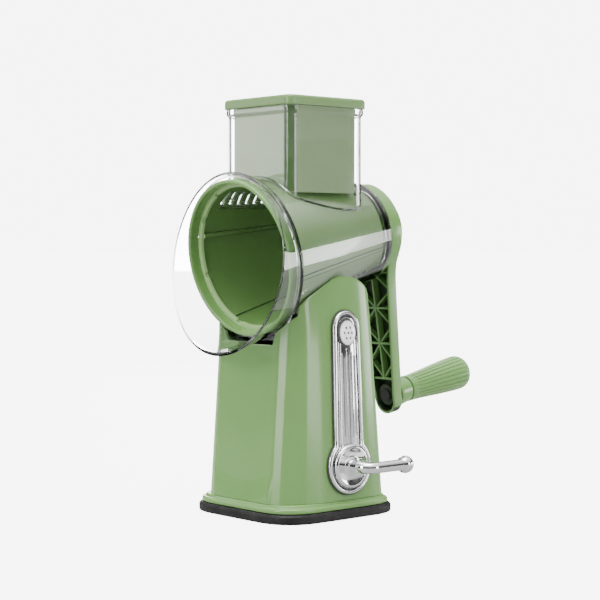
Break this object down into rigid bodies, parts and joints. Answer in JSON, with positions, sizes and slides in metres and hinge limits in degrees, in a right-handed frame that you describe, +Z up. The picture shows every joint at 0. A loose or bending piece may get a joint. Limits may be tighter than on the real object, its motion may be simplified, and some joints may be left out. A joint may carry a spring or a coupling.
{
  "type": "rotary cheese grater",
  "caption": "Hand-cranked rotary grater: a drum in a clear slanted barrel with a square feed chute and pusher, on a tapered suction stand with a lever.",
  "frame": {"origin": "middle of the suction pad's flat underside, on the table", "axes": "+Z up, -Y out of the drum's mouth, +Y towards the crank, +X towards the suction lever"},
  "size_m": [0.1466, 0.2626, 0.31],
  "materials": {
    "green_plastic": "glossy moulded ABS",
    "clear_plastic": "clear moulded plastic",
    "chrome_trim": "bright plated",
    "steel": "stainless",
    "black_plastic": "fine moulded texture",
    "rubber": "matte"
  },
  "bodies": {
    "stand": {"suction_pad": "rubber", "base_plate": "green_plastic", "stand_shell": "green_plastic", "base_screw_1": "steel", "base_screw_2": "steel", "base_screw_3": "steel", "base_screw_4": "steel", "cam_bracket": "black_plastic", "bracket_screw_1": "steel", "bracket_screw_2": "steel", "bracket_screw_3": "steel", "bracket_screw_4": "steel", "trim_frame": "chrome_trim", "trim_inlay": "chrome_trim", "latch_tray": "black_plastic", "tray_screw_1": "steel", "tray_screw_2": "steel", "housing": "clear_plastic", "rear_bush": "black_plastic"},
    "rotor": {"drum_shell": "green_plastic", "drum_ring": "green_plastic", "drum_hub": "green_plastic", "blade_1": "steel", "blade_2": "steel", "spindle": "steel", "thrust_washer": "steel", "crank_arm": "green_plastic", "crank_cap": "green_plastic", "crank_screw": "steel", "grip_pin": "steel", "grip_collar": "green_plastic"},
    "hand_grip": {"grip": "green_plastic"},
    "pusher": {"pusher_body": "green_plastic", "pusher_cap": "green_plastic"},
    "lever": {"lever_dial": "chrome_trim", "lever_arm": "chrome_trim", "cam_shaft": "steel", "cam": "black_plastic", "shaft_clip": "steel"},
    "stem": {"pull_stem": "steel", "stem_spring": "steel"},
    "button": {"release_button": "chrome_trim", "latch_bar": "black_plastic", "button_spring": "steel"}
  },
  "joints": [
    {"name": "crank_turn", "type": "hinge", "parent": "stand", "child": "rotor", "pos_m": [0, -0.0513, 0.1913], "axis": [0, 0.9858, 0.1681], "continuous": true},
    {"name": "grip_spin", "type": "hinge", "parent": "rotor", "child": "hand_grip", "pos_m": [0, 0.11794, 0.08525], "axis": [0, 0.9858, 0.1681], "continuous": true},
    {"name": "pusher_slide", "type": "slide", "parent": "stand", "child": "pusher", "axis": [0, 0, 1], "range_m": [0, 0.06]},
    {"name": "lever_turn", "type": "hinge", "parent": "stand", "child": "lever", "pos_m": [0, 0.006, 0.0382], "axis": [1, 0, 0], "range_deg": [0, 90]},
    {"name": "stem_lift", "type": "slide", "parent": "stand", "child": "stem", "axis": [0, 0, 1], "range_m": [0, 0.003], "deforming": ["stem_spring", "suction_pad"]},
    {"name": "button_press", "type": "slide", "parent": "stand", "child": "button", "axis": [-1, 0, 0], "range_m": [0, 0.0025], "stiffness_N_per_m": 400, "springref_m": -0.002, "deforming": ["button_spring"]}
  ],
  "couplings": [
    {"joint": "lever_turn", "follows": "stem_lift", "rad_per_m": 523.6}
  ]
}
